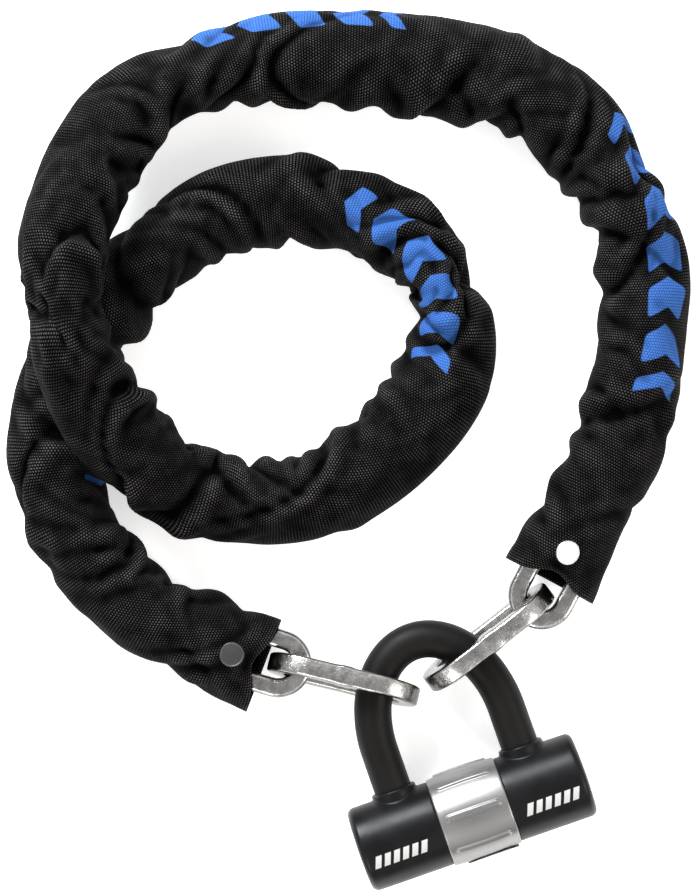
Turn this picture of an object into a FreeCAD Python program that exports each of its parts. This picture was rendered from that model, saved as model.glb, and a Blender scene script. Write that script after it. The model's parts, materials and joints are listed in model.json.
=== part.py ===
"""Chain lock: a square-bar security chain in a woven sleeve, closed by a mini shackle lock.

Millimetres, +Z up. The chain lies in one loose coil on a flat surface at z = 0, and the origin is on
that surface, under the centre of the object's box. The lock is drawn in its own frame and then placed:
its x runs along the crossbar, its y points at the top of the shackle, and its z points up.
"""
import FreeCAD, Part
import math
import os

from FreeCAD import Placement, Rotation, Vector

os.makedirs("parts", exist_ok=True)

# ---------------------------------------------------------------- chain
BAR = 9.5                    # square bar of every link
BAR_CHAMFER = 1.2
LINK_INNER_LENGTH = 42.93
LINK_WIDTH = 34.0            # outer
LINK_COUNT = 35              # inside the sleeve, the first and the last one showing at its ends
END_LINK_LENGTH = 78.0       # outer
END_LINK_WIDTH = 42.0        # outer: wide enough for the coated shackle
END_LINK_HEIGHT = 23.0       # centre of both end links above the surface

# ---------------------------------------------------------------- sleeve
SLEEVE_RADIUS = 21.5         # of the round tube; the real cloth slumps a little wider and lower
CLOTH = 1.0
RIVET_FROM_HEM = 17.0
RIVET_CAP_RADIUS = 6.2
RIVET_CAP_HEIGHT = 1.2
RIVET_SHANK_RADIUS = 1.6
RIVET_WASHER_RADIUS = 4.2
RIVET_WASHER = 0.7

# The lie of the chain, from its right end round to its left end, as x, y and the rise above the surface.
# It passes over itself once, on the left.
RIGHT_PIVOT = (96.8, -74.9, 0)
RIGHT_HEM = (100.5, -67.4, 0)
LIE = [
    (122, -27, 0),
    (143, 14, 0),
    (151, 60, 0),
    (147, 107, 0),
    (127, 152, 0),
    (90, 185, 0),
    (41, 196, 0),
    (-8, 199, 0),
    (-55, 197, 0),
    (-95, 185, 4),
    (-124, 156, 16),
    (-139, 117, 32),
    (-142, 84, 46),
    (-137, 46, 46),
    (-121, 8, 29),
    (-91, -20, 12),
    (-53, -30, 0),
    (-12, -26, 0),
    (24, -5, 0),
    (50, 26, 0),
    (56, 67, 0),
    (35, 104, 0),
    (-3, 126, 0),
    (-47, 128, 0),
    (-87, 110, 0),
    (-120, 81, 0),
    (-146, 45, 0),
    (-154, 3, 0),
    (-147, -36, 0),
    (-123, -69, 0),
    (-89, -93, 0),
]
LEFT_HEM = (-43.4, -110.3, 0)
LEFT_PIVOT = (-36.0, -109.2, 0)
RIGHT_LINK_HEADING = -142.2  # degrees, from the chain towards the lock
LEFT_LINK_HEADING = -13.6
RIGHT_LINK_LEAN = -5.0       # degrees out of the upright; below 0, its top is to the left of its heading
LEFT_LINK_LEAN = -10.0
END_LINK_PLAY = 0.3          # between an end link and the crown of the link that it hangs in

# ---------------------------------------------------------------- lock
LOCK_PLACE = (61.5, -183.8)
LOCK_TURN = 19.25
BODY_LENGTH = 121.0
COVER_RADIUS = 21.75
COVER_RIM = 3.6
COVER_DOME = 0.9
CROSSBAR_RADIUS = 19.0
CROSSBAR_BORE = 14.5
CROSSBAR_LENGTH = 112.0
BAND_WIDTH = 36.0
BAND_OFFSET = 1.0            # the band sits this far to the right of the middle
BAND_RADIUS = 23.4
BAND_EDGE_RADIUS = 22.5
RIB_COUNT = 8
RIB_FIRST = 53.0             # degrees from the top, towards the shackle
RIB_AT_WINDOW = 5            # this one would cross the keyway's window, so it is left out
RIB_LENGTH = 29.0
RIB_WIDTH = 4.2
RIB_HEIGHT = 0.8
LEG_SPACING = 67.6
CORE_RADIUS = 7.0
COAT = 2.4
LEG_STRAIGHT = 44.0          # where the legs turn into the bow
BOW_HEIGHT = 47.0
LEG_END = -11.5
COLLAR_RADIUS = 11.5
COLLAR_TOP = 24.3
SLIDE_GAP = 0.2              # round the coated legs and other hand-loose fits
FIT_GAP = 0.06               # round turning and sliding metal
COLLAR_EDGE = 0.8            # rounding of the collar's lip
SEAL_FROM, SEAL_TO = 21.2, 23.2
SEAL_RADIUS = 10.6
SEAL_GAP = 0.05
END_PLUG = 6.0               # thickness of the discs in the crossbar tube's ends

CYLINDER_RADIUS = 10.0
CYLINDER_FRONT = -20.0
CYLINDER_BACK = -4.1
CLIP_FROM, CLIP_TO = -4.9, -4.25
CLIP_RADIUS, CLIP_INNER = 11.4, 9.25
PLUG_RADIUS = 7.5
SIDEBAR_FROM, SIDEBAR_TO = -17.9, -6.7
DISC_RADIUS = 6.1
FIRST_DISC = -18.7
DISC_COUNT = 7
DISC = 1.2
SPACER = 0.6
CAM_RADIUS = 12.2
CAM_FRONT = -3.6
CAM_BACK = -0.3
BOLT_THROW = 5.0
PIN_RADIUS = 1.2
PIN_REST = 4.6               # from the cam's axis, bolts drawn in
BOLT_TIP = 25.9
BOLT_WIDTH = 7.0             # along y
BOLT_HEIGHT = 9.0            # along z
TAIL_RADIUS = 2.2
TAIL_FLAT = 1.5
CHASSIS_HALF = 24.5
CROSS_PIN_RADIUS = 2.0
CROSS_PIN_HOLE = 2.03
BEYOND = 30.0                # a cutting tool reaches this far past the lock's skin

BEZEL_RADIUS = 23.9
BEZEL_FROM, BEZEL_TO = -10.0, 17.0
BEZEL_HALF = 8.0
KEYHOLE_RADIUS = 4.5
SHUTTER_HALF = 5.1           # the shutter's plate is square
SHUTTER_TRAVEL = 9.6
SHUTTER_FRONT, SHUTTER_BACK = -22.6, -21.7
GRIP_HALF = 2.6              # its thumb grip
GRIP_FRONT = -23.6
GROOVE_HALF = 0.35           # the grip's grooves
KEY_SLOT_HALF = 3.5          # the window that the shutter shows through
KEYWAY_HALF = 1.1
CHAMBER_FROM, CHAMBER_TO = -18.8, -5.8

X = Vector(1, 0, 0)
Y = Vector(0, 1, 0)
Z = Vector(0, 0, 1)
ORIGIN = Vector(0, 0, 0)


# ================================================================ helpers
def save(name, shape):
    """Writes one sub-part, and says if it isn't sound."""
    if not shape.isValid():
        print("NOT VALID", name)
    shape.exportStep(f"parts/{name}.step")


def rod(radius, start, end):
    """A cylinder from one point to another."""
    run = end - start
    return Part.makeCylinder(radius, run.Length, start, run)


def ring(outer, inner, start, end):
    """A straight tube from one point to another."""
    return rod(outer, start, end).cut(rod(inner, start, end))


def block(x0, x1, y0, y1, z0, z1):
    """A box between two corners."""
    return Part.makeBox(x1 - x0, y1 - y0, z1 - z0, Vector(x0, y0, z0))


def rounded(shape, radius, chosen):
    """shape with the edges that chosen picks rounded off."""
    return shape.makeFillet(radius, [edge for edge in shape.Edges if chosen(edge)])


def mirrored(shape):
    """The left hand copy of a piece on the lock's right."""
    return shape.mirror(ORIGIN, X)


# ================================================================ links
def bar_section(centre):
    """The chamfered square of the bar, across x, with its centre at a point."""
    half = BAR / 2
    flat = half - BAR_CHAMFER
    corners = [(half, flat), (flat, half), (-flat, half), (-half, flat)]
    corners += [(-y, -z) for y, z in corners]
    points = [centre + Vector(0, y, z) for y, z in corners]
    return Part.Face(Part.makePolygon([*points, points[0]]))


def chain_link(length, width):
    """One link lying flat, its length along x and its centre at the origin."""
    bend = (width - BAR) / 2
    half_side = (length - width) / 2
    side = bar_section(Vector(-half_side, bend, 0)).extrude(X * (2 * half_side))
    crown = bar_section(Vector(half_side, bend, 0))
    crown = crown.revolve(Vector(half_side, 0, 0), Z * -1, 180)
    half = side.fuse(crown)
    other = half.copy()
    other.rotate(ORIGIN, Z, 180)
    return half.fuse(other).removeSplitter()


def lay(shape, start, end, roll):
    """shape, made along x about the origin, laid half way between two points and rolled about its length."""
    run = end - start
    heading = math.degrees(math.atan2(run.y, run.x))
    climb = math.degrees(math.asin(run.z / run.Length))
    turn = Rotation(Z, heading).multiply(Rotation(Y, -climb)).multiply(Rotation(X, roll))
    placed = shape.copy()
    placed.Placement = Placement((start + end) * 0.5, turn)
    return placed


# ================================================================ the lie of the chain
def route_points(first, last, height):
    """The chain's points from a first to a last one, at the height of its middle."""
    return [Vector(x, y, rise + height) for x, y, rise in [first, *LIE, last]]


def route_wire(points):
    """Straight runs joined by tangent arcs, each as large as the shorter of its two runs allows."""
    edges = []
    here = points[0]
    radii = []
    for before, corner, after in zip(points, points[1:], points[2:]):
        back = before - corner
        ahead = after - corner
        half_turn = (math.pi - back.getAngle(ahead)) / 2
        reach = 0.45 * min(back.Length, ahead.Length)
        radius = reach / math.tan(half_turn)
        radii.append(round(radius))
        back.normalize()
        ahead.normalize()
        arc_start = corner + back * reach
        arc_end = corner + ahead * reach
        inward = (back + ahead).normalize()
        sagitta = radius / math.cos(half_turn) - radius
        edges.append(Part.LineSegment(here, arc_start).toShape())
        edges.append(Part.Arc(arc_start, corner + inward * sagitta, arc_end).toShape())
        here = arc_end
    edges.append(Part.LineSegment(here, points[-1]).toShape())
    print("bend radii:", radii)
    return Part.Wire(edges)


def pivots(wire, chords):
    """Points along a wire, each one chord further on than the last, in a straight line."""
    samples = wire.discretize(Number=6000)
    found = [samples[0]]
    place = 0
    for chord in chords:
        while place < len(samples) - 1 and (samples[place] - found[-1]).Length < chord:
            place += 1
        run = (samples[place] - found[-1]).normalize()
        found.append(found[-1] + run * chord)
    return found


# ================================================================ sleeve
def swept_round(wire, radius):
    """A round bar along the sleeve's route."""
    start = wire.discretize(Number=2)[0]
    heading = wire.Edges[0].tangentAt(wire.Edges[0].FirstParameter)
    section = Part.Wire(Part.Circle(start, heading, radius).toShape())
    return wire.makePipeShell([section], True, False)


def make_sleeve():
    """The woven tube with its two rivet holes, and each rivet's place: the cloth's top there, and its run."""
    points = route_points(RIGHT_HEM, LEFT_HEM, SLEEVE_RADIUS)
    wire = route_wire(points)
    sleeve = swept_round(wire, SLEEVE_RADIUS).cut(swept_round(wire, SLEEVE_RADIUS - CLOTH))
    places = []
    for hem, inner in ((points[0], points[1]), (points[-1], points[-2])):
        run = (inner - hem).normalize()
        top = hem + run * RIVET_FROM_HEM + Z * SLEEVE_RADIUS
        places.append((top, run))
        sleeve = sleeve.cut(rod(RIVET_SHANK_RADIUS, top - Z * (3 * CLOTH), top + Z))
    wall = math.pi * (2 * SLEEVE_RADIUS - CLOTH) * CLOTH
    share = sleeve.Volume / wall / wire.Length
    print(f"sleeve length {wire.Length:.0f}, volume over section times length {share:.4f}")
    return sleeve, places


def make_rivet(top, run):
    """A domed cap that follows the round of the cloth, its shank, and the washer under the cloth."""
    seat = top - Z * 0.3
    dome = (RIVET_CAP_RADIUS**2 + RIVET_CAP_HEIGHT**2) / (2 * RIVET_CAP_HEIGHT)
    ball = Part.makeSphere(dome, seat + Z * (RIVET_CAP_HEIGHT - dome))
    cap = ball.common(rod(RIVET_CAP_RADIUS, seat - Z * 2, seat + Z * (2 * RIVET_CAP_HEIGHT)))
    cap = cap.fuse(rod(RIVET_CAP_RADIUS, seat - Z, seat))
    axis = top - Z * SLEEVE_RADIUS
    cap = cap.cut(rod(SLEEVE_RADIUS + 0.02, axis - run * 20, axis + run * 20))
    under = top - Z * (CLOTH + 0.5)
    shank = rod(RIVET_SHANK_RADIUS - 0.02, under - Z * (RIVET_WASHER + 0.2), seat + Z * 0.5)
    washer = ring(RIVET_WASHER_RADIUS, RIVET_SHANK_RADIUS, under - Z * RIVET_WASHER, under)
    return [cap.fuse(shank).removeSplitter(), washer]


# ================================================================ shackle
def bow_wire(leg_from):
    """The shackle's centreline, both legs starting at the same height."""
    half = LEG_SPACING / 2
    centre = Vector(0, LEG_STRAIGHT, 0)
    left = Part.LineSegment(Vector(-half, leg_from, 0), Vector(-half, LEG_STRAIGHT, 0))
    right = Part.LineSegment(Vector(half, LEG_STRAIGHT, 0), Vector(half, leg_from, 0))
    bow = Part.Ellipse(Vector(0, LEG_STRAIGHT + BOW_HEIGHT, 0), Vector(half, LEG_STRAIGHT, 0), centre)
    start = bow.parameter(Vector(half, LEG_STRAIGHT, 0))
    end = bow.parameter(Vector(-half, LEG_STRAIGHT, 0))
    arch = Part.ArcOfEllipse(bow, start, end + 2 * math.pi if end < start else end)
    middle = arch.value((arch.FirstParameter + arch.LastParameter) / 2)
    if middle.y < LEG_STRAIGHT:
        arch = Part.ArcOfEllipse(bow, end, start + 2 * math.pi if start < end else start)
    return Part.Wire(Part.sortEdges([left.toShape(), arch.toShape(), right.toShape()])[0])


def bent_rod(radius, leg_from):
    """A round rod along the shackle's centreline."""
    wire = bow_wire(leg_from)
    circle = Part.Circle(Vector(-LEG_SPACING / 2, leg_from, 0), Y, radius)
    section = Part.Wire(circle.toShape())
    return wire.makePipeShell([section], True, False)


def make_shackle_core():
    """The hardened steel bow, with a pocket for a bolt in each leg."""
    core = bent_rod(CORE_RADIUS, LEG_END)
    core = rounded(core, 1.2, lambda edge: edge.BoundBox.YMax < LEG_END + 0.01)
    depth = BOLT_TIP + BOLT_THROW + 1.0
    play = 0.7
    pocket = block(0, depth, -play, BOLT_WIDTH + play, -BOLT_HEIGHT / 2 - play, BOLT_HEIGHT / 2 + play)
    return core.cut(pocket).cut(mirrored(pocket))


def make_shackle_coating():
    """The soft coat, from the crossbar's outside round the bow."""
    coat_from = CROSSBAR_RADIUS + 0.4
    coat = bent_rod(CORE_RADIUS + COAT, coat_from)
    return coat.cut(bent_rod(CORE_RADIUS, LEG_END))


# ================================================================ lock body
def legs(radius, low, high):
    """Two rods on the legs' centrelines, for cutting."""
    half = LEG_SPACING / 2
    return [rod(radius, Vector(x, low, 0), Vector(x, high, 0)) for x in (-half, half)]


def pin_places():
    """The two cross pins that hold the chassis, as points in the lock's middle plane."""
    return [Vector(x, -8, 0) for x in (-15, 15)]


def pin_rods(radius, reach):
    """Rods on the cross pins' lines."""
    return [rod(radius, place - Z * reach, place + Z * reach) for place in pin_places()]


def make_crossbar_tube():
    """The steel tube of the lock's body."""
    half = CROSSBAR_LENGTH / 2
    tube = ring(CROSSBAR_RADIUS, CROSSBAR_BORE, X * -half, X * half)
    for hole in legs(CORE_RADIUS + SLIDE_GAP, 0, CROSSBAR_RADIUS + 1):
        tube = tube.cut(hole)
    tube = tube.cut(rod(CYLINDER_RADIUS + FIT_GAP, ORIGIN, Y * (-CROSSBAR_RADIUS - 1)))
    for pin in pin_rods(CROSS_PIN_HOLE, CROSSBAR_RADIUS):
        tube = tube.cut(pin)
    return tube


def make_end_plugs():
    """The steel discs that close the crossbar tube."""
    outer = CROSSBAR_LENGTH / 2
    plug = rod(CROSSBAR_BORE - 0.05, X * (outer - END_PLUG), X * outer)
    plug = plug.makeChamfer(0.8, [edge for edge in plug.Edges if edge.BoundBox.XMin > outer - 0.01])
    return Part.Compound([plug, mirrored(plug)])


def make_right_cover(band_edge):
    """The plastic cover on one end of the body, with the collar that a leg goes through."""
    end = BODY_LENGTH / 2
    dome = (COVER_RADIUS**2 + COVER_DOME**2) / (2 * COVER_DOME)
    cover = rod(COVER_RADIUS, X * band_edge, X * end)
    cover = cover.common(Part.makeSphere(dome, X * (end - dome)))
    cover = rounded(cover, COVER_RIM, lambda edge: edge.BoundBox.XMin > band_edge + 1)
    leg = Vector(LEG_SPACING / 2, 0, 0)
    collar = rod(COLLAR_RADIUS, leg, leg + Y * COLLAR_TOP)
    collar = rounded(collar, COLLAR_EDGE, lambda edge: edge.BoundBox.YMin > COLLAR_TOP - 0.01)
    cover = cover.fuse(collar)
    cavity = rod(CROSSBAR_RADIUS + FIT_GAP, X * (band_edge - 1), X * (CROSSBAR_LENGTH / 2 + 0.3))
    cover = cover.cut(cavity)
    bore = rod(CORE_RADIUS + COAT + SLIDE_GAP, leg, leg + Y * (COLLAR_TOP + 1))
    groove = rod(SEAL_RADIUS, leg + Y * SEAL_FROM, leg + Y * SEAL_TO)
    return cover.cut(bore).cut(groove)


def make_leg_seals():
    """A rubber ring in the groove of each collar."""
    seals = []
    lip = CORE_RADIUS + COAT + 0.08
    for side in (-1, 1):
        leg = Vector(side * LEG_SPACING / 2, 0, 0)
        start = leg + Y * (SEAL_FROM + SEAL_GAP)
        end = leg + Y * (SEAL_TO - SEAL_GAP)
        seals.append(ring(SEAL_RADIUS - SEAL_GAP, lip, start, end))
    return Part.Compound(seals)


def slab_stadium(x0, x1, half, y0, y1):
    """A bar with round ends, its length along x, standing along y."""
    middle = block(x0 + half, x1 - half, y0, y1, -half, half)
    ends = [rod(half, Vector(x, y0, 0), Vector(x, y1, 0)) for x in (x0 + half, x1 - half)]
    return middle.fuse(ends).removeSplitter()


def make_grip_band():
    """The barrel-shaped band round the middle, with its raised ribs and its window for the keyway."""
    left = BAND_OFFSET - BAND_WIDTH / 2
    right = BAND_OFFSET + BAND_WIDTH / 2
    soft = 0.8
    edge_left = Vector(left, BAND_EDGE_RADIUS, 0)
    crown = Part.Arc(edge_left, Vector(BAND_OFFSET, BAND_RADIUS, 0), Vector(right, BAND_EDGE_RADIUS, 0))
    inner = CROSSBAR_RADIUS + FIT_GAP
    rest = Part.makePolygon(
        [Vector(right, BAND_EDGE_RADIUS, 0), Vector(right, inner, 0), Vector(left, inner, 0), edge_left]
    )
    outline = Part.Wire([crown.toShape(), *rest.Edges])
    band = Part.Face(outline).revolve(ORIGIN, X, 360)
    band = rounded(band, soft, lambda edge: edge.BoundBox.ZMax > BAND_EDGE_RADIUS - 0.01)
    rib = make_rib()
    for number in range(RIB_COUNT):
        if number == RIB_AT_WINDOW:
            continue
        angle = RIB_FIRST + number * 360 / RIB_COUNT
        turned_rib = rib.copy()
        turned_rib.rotate(ORIGIN, X, -angle)
        band = band.fuse(turned_rib)
    window = slab_stadium(BEZEL_FROM - 0.1, BEZEL_TO + 0.1, BEZEL_HALF + 0.1, -BAND_RADIUS - 3, -10)
    seat = rod(CYLINDER_RADIUS + SLIDE_GAP, Y * (CYLINDER_FRONT - 0.1), Y * -10)
    return band.cut(window).cut(seat)


def make_rib():
    """One pill-shaped rib, at the top of the band."""
    half = RIB_WIDTH / 2
    reach = RIB_LENGTH / 2 - half
    centre = BAND_OFFSET
    body = block(centre - reach, centre + reach, -half, half, BAND_EDGE_RADIUS - 2, BAND_RADIUS + 2)
    base = BAND_EDGE_RADIUS - 2
    for x in (centre - reach, centre + reach):
        body = body.fuse(rod(half, Vector(x, 0, base), Vector(x, 0, BAND_RADIUS + 2)))
    skin = rod(BAND_RADIUS + RIB_HEIGHT, X * -BEYOND, X * BEYOND)
    rib = body.removeSplitter().common(skin)
    return rounded(rib, 0.5, lambda edge: edge.BoundBox.ZMin > BAND_RADIUS)


def make_keyway_bezel():
    """The plastic frame round the keyway, with the track that its shutter slides in."""
    floor = CYLINDER_FRONT - 0.1
    plate = slab_stadium(BEZEL_FROM, BEZEL_TO, BEZEL_HALF, -BEZEL_RADIUS - 1, floor)
    plate = plate.common(rod(BEZEL_RADIUS, X * -BEYOND, X * BEYOND))
    keyhole = rod(KEYHOLE_RADIUS, Y * -BEYOND, Y * (floor + 1))
    play = 0.1
    track_play = 0.3
    left = -SHUTTER_HALF
    right = SHUTTER_HALF + SHUTTER_TRAVEL
    front = SHUTTER_FRONT + play
    window = block(left - play, right + 2 * play, -BEYOND, front, -KEY_SLOT_HALF, KEY_SLOT_HALF)
    front = SHUTTER_FRONT - 0.15
    reach = SHUTTER_HALF + 2 * play
    track = block(left - track_play, right + 4 * play, front, SHUTTER_BACK + play, -reach, reach)
    return plate.cut(keyhole).cut(window).cut(track)


def make_dust_shutter():
    """The little slide that covers the keyway, with a ribbed thumb grip."""
    plate = block(-SHUTTER_HALF, SHUTTER_HALF, SHUTTER_FRONT, SHUTTER_BACK, -SHUTTER_HALF, SHUTTER_HALF)
    grip = block(-GRIP_HALF, GRIP_HALF, GRIP_FRONT, SHUTTER_FRONT + 0.3, -GRIP_HALF, GRIP_HALF)
    for step in (-1.5, 0, 1.5):
        groove = block(step - GROOVE_HALF, step + GROOVE_HALF, -BEYOND, GRIP_FRONT + 0.4, -BEYOND, BEYOND)
        grip = grip.cut(groove)
    return plate.fuse(grip)


# ================================================================ lock inside
def make_chassis():
    """The block in the tube that guides the bolts and holds the key cylinder."""
    body = rod(CROSSBAR_BORE - 0.1, X * -CHASSIS_HALF, X * CHASSIS_HALF)
    side = BOLT_HEIGHT / 2 + FIT_GAP
    body = body.cut(block(-BEYOND, BEYOND, -0.1, BOLT_WIDTH + 0.2, -side, side))
    body = body.cut(rod(CAM_RADIUS + SLIDE_GAP, Y * -5, Y * 0))
    body = body.cut(rod(CYLINDER_RADIUS + FIT_GAP, Y * -15, Y * -5))
    for pin in pin_rods(CROSS_PIN_HOLE, CROSSBAR_RADIUS):
        body = body.cut(pin)
    return body


def make_chassis_pins():
    """The two pins through the tube and the chassis, flush with the tube."""
    skin = rod(CROSSBAR_RADIUS, X * -BEYOND, X * BEYOND)
    return Part.Compound([pin.common(skin) for pin in pin_rods(CROSS_PIN_RADIUS, CROSSBAR_RADIUS)])


def make_cylinder_housing():
    """The shell of the key cylinder, with its clip groove at the back and the sidebar's channel."""
    shell = ring(CYLINDER_RADIUS, PLUG_RADIUS + FIT_GAP, Y * CYLINDER_FRONT, Y * CYLINDER_BACK)
    play = 0.05
    groove = ring(CYLINDER_RADIUS + 1, CLIP_INNER - play, Y * (CLIP_FROM - play), Y * (CLIP_TO + play))
    shell = shell.cut(groove)
    return shell.cut(block(-KEYWAY_HALF, KEYWAY_HALF, SIDEBAR_FROM - 0.3, SIDEBAR_TO + 0.3, 0, 8.6))


def make_cylinder_clip():
    """The open spring ring that keeps the key cylinder in the chassis."""
    clip = ring(CLIP_RADIUS, CLIP_INNER, Y * CLIP_FROM, Y * CLIP_TO)
    return clip.cut(block(-3, 3, CLIP_FROM - 1, CLIP_TO + 1, -CLIP_RADIUS - 1, 0))


def make_key_plug():
    """The barrel that turns with the key: keyway in front, disc chamber, and a flatted tail."""
    barrel = rod(PLUG_RADIUS, Y * (CYLINDER_FRONT + 0.3), Y * -4.0)
    barrel = barrel.cut(rod(DISC_RADIUS + 0.1, Y * CHAMBER_FROM, Y * CHAMBER_TO))
    reach = KEY_SLOT_HALF + 0.1
    front = CYLINDER_FRONT - 1
    barrel = barrel.cut(block(-KEYWAY_HALF, KEYWAY_HALF, front, CHAMBER_FROM + 0.3, -reach, reach))
    barrel = barrel.cut(block(-1.05, 1.05, SIDEBAR_FROM - 0.2, SIDEBAR_TO + 0.2, 0, PLUG_RADIUS + 0.5))
    tail = rod(TAIL_RADIUS, Y * (CYLINDER_BACK - 0.1), Y * (CAM_BACK - 0.1))
    return barrel.fuse(tail.cut(block(-3, 3, CYLINDER_BACK + 0.1, 0, TAIL_FLAT, 3)))


def disc_at(start, thickness, slot_half, slot_reach):
    """A round plate in the key barrel, with the key's slot and the sidebar's notch."""
    plate = rod(DISC_RADIUS, Y * start, Y * (start + thickness))
    plate = plate.cut(block(-slot_half, slot_half, start - 1, start + thickness + 1, -slot_reach, slot_reach))
    return plate.cut(block(-1.2, 1.2, start - 1, start + thickness + 1, 5.0, 7))


def make_discs():
    """The coded discs."""
    pitch = DISC + SPACER
    return Part.Compound([disc_at(FIRST_DISC + n * pitch, DISC, 1.2, 3.4) for n in range(DISC_COUNT)])


def make_spacers():
    """The plain washers between the discs."""
    pitch = DISC + SPACER
    first = FIRST_DISC + DISC
    return Part.Compound([disc_at(first + n * pitch, SPACER, 1.9, 4.0) for n in range(DISC_COUNT - 1)])


def make_sidebar():
    """The bar that drops into the discs' notches and frees the barrel."""
    return block(-0.95, 0.95, SIDEBAR_FROM, SIDEBAR_TO, 5.2, 7.2)


def spiral_slot(turned_by):
    """One slot of the cam: its middle moves out by the bolts' throw in a quarter turn."""
    gap = PIN_RADIUS + 0.2

    def at(angle, offset):
        radius = PIN_REST + BOLT_THROW * angle / (math.pi / 2)
        outward = Vector(math.cos(angle), 0, math.sin(angle))
        onward = Vector(-math.sin(angle), 0, math.cos(angle))
        run = outward * (BOLT_THROW / (math.pi / 2)) + onward * radius
        side = run.normalize().cross(Y)
        return outward * radius + side * offset

    steps = [math.pi / 2 * n / 8 for n in range(9)]
    outer = Part.BSplineCurve()
    outer.interpolate([at(angle, gap) for angle in steps])
    inner = Part.BSplineCurve()
    inner.interpolate([at(angle, -gap) for angle in reversed(steps)])
    first = at(0, 0) - Z * gap
    onward = (at(math.pi / 2, 0) - at(math.pi / 2 - 0.01, 0)).normalize()
    last = at(math.pi / 2, 0) + onward * gap
    far_end = Part.Arc(at(math.pi / 2, gap), last, at(math.pi / 2, -gap))
    near_end = Part.Arc(at(0, -gap), first, at(0, gap))
    outline = Part.Wire([piece.toShape() for piece in (outer, far_end, inner, near_end)])
    slot = Part.Face(outline).extrude(Y * 8)
    slot.translate(Y * (CAM_FRONT - 1))
    slot.rotate(ORIGIN, Y, turned_by)
    return slot


def make_bolt_cam():
    """The disc on the barrel's tail whose two spiral slots drive the bolts."""
    cam = rod(CAM_RADIUS, Y * CAM_FRONT, Y * CAM_BACK)
    tail = rod(TAIL_RADIUS + 0.05, Y * -5, Y).cut(block(-3, 3, -5, 1, TAIL_FLAT + 0.05, 3))
    return cam.cut(tail).cut(spiral_slot(0)).cut(spiral_slot(180))


def make_right_bolt():
    """One locking bolt, drawn in, with the pin that rides in the cam."""
    half = BOLT_HEIGHT / 2
    bolt = block(0.6, BOLT_TIP, 0.1, BOLT_WIDTH, -half, half)
    bolt = bolt.makeChamfer(1.0, [edge for edge in bolt.Edges if edge.BoundBox.XMin > BOLT_TIP - 0.01])
    return bolt.fuse(rod(PIN_RADIUS, Vector(PIN_REST, -3.2, 0), Vector(PIN_REST, 0.2, 0)))


# ================================================================ build
def lock_pieces():
    """Every piece of the lock, in the lock's own frame."""
    right_edge = BAND_OFFSET + BAND_WIDTH / 2
    left_edge = BAND_WIDTH / 2 - BAND_OFFSET
    bolt = make_right_bolt()
    return {
        "shackle_core": make_shackle_core(),
        "shackle_coating": make_shackle_coating(),
        "crossbar_tube": make_crossbar_tube(),
        "end_plugs": make_end_plugs(),
        "right_cover": make_right_cover(right_edge),
        "left_cover": mirrored(make_right_cover(left_edge)),
        "leg_seals": make_leg_seals(),
        "grip_band": make_grip_band(),
        "keyway_bezel": make_keyway_bezel(),
        "dust_shutter": make_dust_shutter(),
        "lock_chassis": make_chassis(),
        "chassis_pins": make_chassis_pins(),
        "cylinder_housing": make_cylinder_housing(),
        "cylinder_clip": make_cylinder_clip(),
        "key_plug": make_key_plug(),
        "lock_discs": make_discs(),
        "disc_spacers": make_spacers(),
        "sidebar": make_sidebar(),
        "bolt_cam": make_bolt_cam(),
        "bolt_right": bolt,
        "bolt_left": mirrored(bolt),
    }


def place_lock(pieces):
    """The lock's pieces, standing on the band's lowest rib where the lock lies."""
    low = min(pieces[name].optimalBoundingBox().ZMin for name in ("grip_band", "left_cover"))
    place = Placement(Vector(*LOCK_PLACE, -low), Rotation(Z, LOCK_TURN))
    print(f"lock axis height {-low:.2f}")
    placed = {}
    for name, shape in pieces.items():
        placed[name] = shape.transformed(place.toMatrix())
    return placed


def hung(places):
    """The ends of an upright link between two flat ones, lifted so that their bars stay amid its eye."""
    before, start, end, after = places
    reach = (LINK_WIDTH - BAR) / 2
    low = start.z + (start - before).normalize().z * reach
    high = end.z - (after - end).normalize().z * reach
    run = end - start
    slope = (high - low) / (run.Length - 2 * reach)
    lifted_start = Vector(start.x, start.y, low - slope * reach)
    lifted_end = Vector(end.x, end.y, high + slope * reach)
    return lifted_start, lifted_end


def chain_pieces():
    """The links in the sleeve, alternately flat and upright, and the two end links."""
    length = LINK_INNER_LENGTH + 2 * BAR
    inner_radius = LINK_WIDTH / 2 - BAR
    flat_chord = LINK_INNER_LENGTH - 2 * inner_radius
    upright_chord = LINK_INNER_LENGTH + BAR
    chords = [upright_chord if n % 2 else flat_chord for n in range(LINK_COUNT)]
    places = pivots(route_wire(route_points(RIGHT_PIVOT, LEFT_PIVOT, SLEEVE_RADIUS)), chords)
    miss = places[-1] - Vector(LEFT_PIVOT[0], LEFT_PIVOT[1], SLEEVE_RADIUS)
    print(f"the chain ends {miss.Length:.1f} from its left pivot: {miss}")
    link = chain_link(length, LINK_WIDTH)
    pieces = {}
    for number in range(LINK_COUNT):
        start, end = places[number], places[number + 1]
        if number % 2:
            start, end = hung(places[number - 1 : number + 3])
        pieces[f"chain_link_{number + 1:02d}"] = lay(link, start, end, 90 * (number % 2))
    end_link = chain_link(END_LINK_LENGTH, END_LINK_WIDTH)
    ends = (
        ("right_end_link", places[0], RIGHT_LINK_HEADING, RIGHT_LINK_LEAN),
        ("left_end_link", places[-1], LEFT_LINK_HEADING, LEFT_LINK_LEAN),
    )
    for name, pivot, heading, lean in ends:
        angle = math.radians(heading)
        along = Vector(math.cos(angle), math.sin(angle), 0)
        near = Vector(pivot.x, pivot.y, END_LINK_HEIGHT) - along * (BAR / 2 + END_LINK_PLAY)
        pieces[name] = lay(end_link, near, near + along * END_LINK_LENGTH, 90 + lean)
    return pieces


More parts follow.
